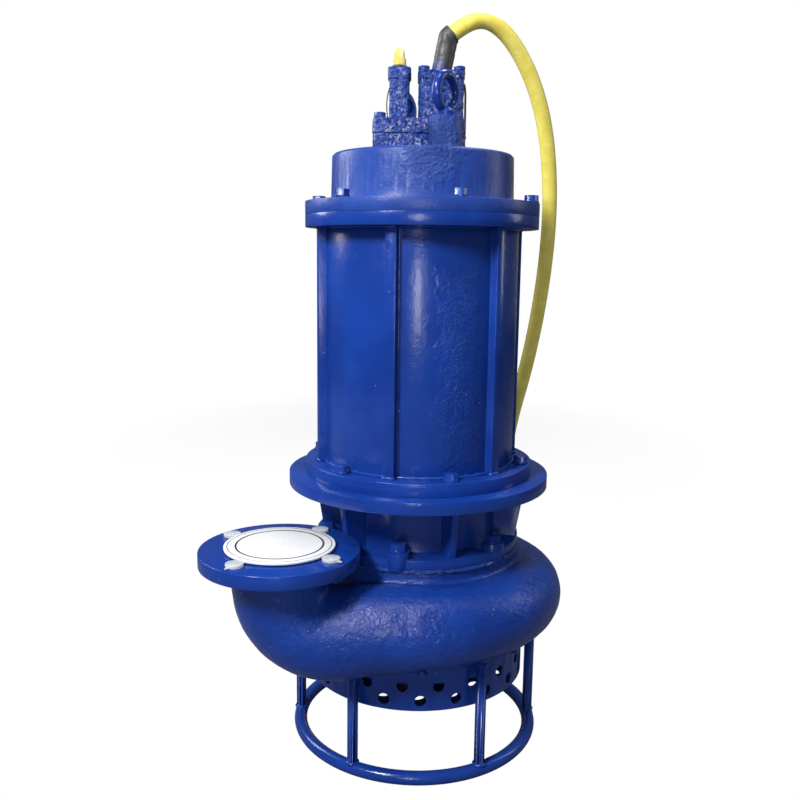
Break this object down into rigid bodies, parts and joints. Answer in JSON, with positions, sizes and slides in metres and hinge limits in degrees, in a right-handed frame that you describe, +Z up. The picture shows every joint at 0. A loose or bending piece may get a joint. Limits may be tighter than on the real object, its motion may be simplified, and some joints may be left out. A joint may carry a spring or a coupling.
{
  "type": "submersible slurry pump",
  "caption": "Upright submersible slurry pump with a bottom strainer and agitator, spiral casing, upturned flanged outlet, ribbed motor casing, terminal box and cables.",
  "frame": {"origin": "on the pump's axis at floor level, under the middle of the stand ring", "axes": "+Z up along the shaft, -Y towards the front where the casing is fullest, +X to the right of someone who faces the front, so the outlet stands at the front left"},
  "size_m": [0.475, 0.8264, 0.9856],
  "materials": {
    "blue_enamel": "thick glossy royal blue enamel over rough castings",
    "wear_iron": "hard high-chrome iron, as cast",
    "bare_iron": "grey iron, machined seats",
    "stainless": "plain stainless steel",
    "bright_steel": "turned and ground steel",
    "bearing_steel": "ground and polished bearing steel",
    "seal_carbide": "lapped dark carbide",
    "core_laminations": "stacked electrical steel sheets",
    "copper_winding": "varnished copper wire",
    "cast_aluminium": "die-cast",
    "black_rubber": "matt moulded rubber",
    "yellow_sheath": "smooth yellow rubber-like cable sheath",
    "white_plastic": "smooth off-white moulding with two dark rings",
    "clear_plastic": "milky translucent moulding"
  },
  "bodies": {
    "root": {"stand_ring": "blue_enamel", "stand_legs": "blue_enamel", "volute_casing": "blue_enamel", "suction_cover": "blue_enamel", "suction_cover_bolts": "blue_enamel", "strainer_basket": "blue_enamel", "strainer_bolts": "blue_enamel", "oil_chamber": "blue_enamel", "oil_chamber_bolts": "blue_enamel", "oil_plug": "blue_enamel", "motor_casing": "blue_enamel", "lower_casing_flange": "blue_enamel", "upper_casing_flange": "blue_enamel", "lower_flange_bolts": "blue_enamel", "top_cover": "blue_enamel", "top_cover_bolts": "blue_enamel", "lifting_eyes": "blue_enamel", "terminal_box_base": "blue_enamel", "terminal_box_lid": "blue_enamel", "terminal_box_bolts": "blue_enamel", "power_gland": "blue_enamel", "power_gland_plate": "blue_enamel", "power_gland_bolts": "blue_enamel", "signal_gland": "blue_enamel", "signal_clamp": "blue_enamel", "back_plate": "wear_iron", "bearing_cover": "bare_iron", "bearing_cover_screws": "bright_steel", "upper_bearing_bracket": "bare_iron", "o_rings": "black_rubber", "cable_sleeve": "black_rubber", "signal_grommet": "black_rubber", "seal_seats": "seal_carbide", "lower_bearing_outer_ring": "bearing_steel", "upper_bearing_outer_ring": "bearing_steel", "stator_core": "core_laminations", "stator_windings": "copper_winding", "power_cable": "yellow_sheath", "power_cable_coil": "yellow_sheath", "power_cable_end": "yellow_sheath", "signal_cable": "yellow_sheath", "signal_cable_coil": "yellow_sheath", "signal_cable_end": "yellow_sheath"},
    "rotor": {"shaft": "bright_steel", "impeller_key": "bright_steel", "rotor_core": "core_laminations", "rotor_end_rings": "cast_aluminium", "impeller": "wear_iron", "agitator": "wear_iron", "agitator_bolt": "stainless", "seal_rings": "stainless", "lower_bearing_inner_ring": "bearing_steel", "upper_bearing_inner_ring": "bearing_steel", "bearing_balls": "bearing_steel"},
    "transit_cover": {"outlet_cover": "white_plastic", "outlet_cover_caps": "clear_plastic"}
  },
  "joints": [
    {"name": "rotor_spin", "type": "hinge", "parent": "root", "child": "rotor", "pos_m": [0, 0, 0.4], "axis": [0, 0, 1], "continuous": true},
    {"name": "cover_lift", "type": "slide", "parent": "root", "child": "transit_cover", "axis": [0, 0, 1], "range_m": [0, 0.035]}
  ]
}
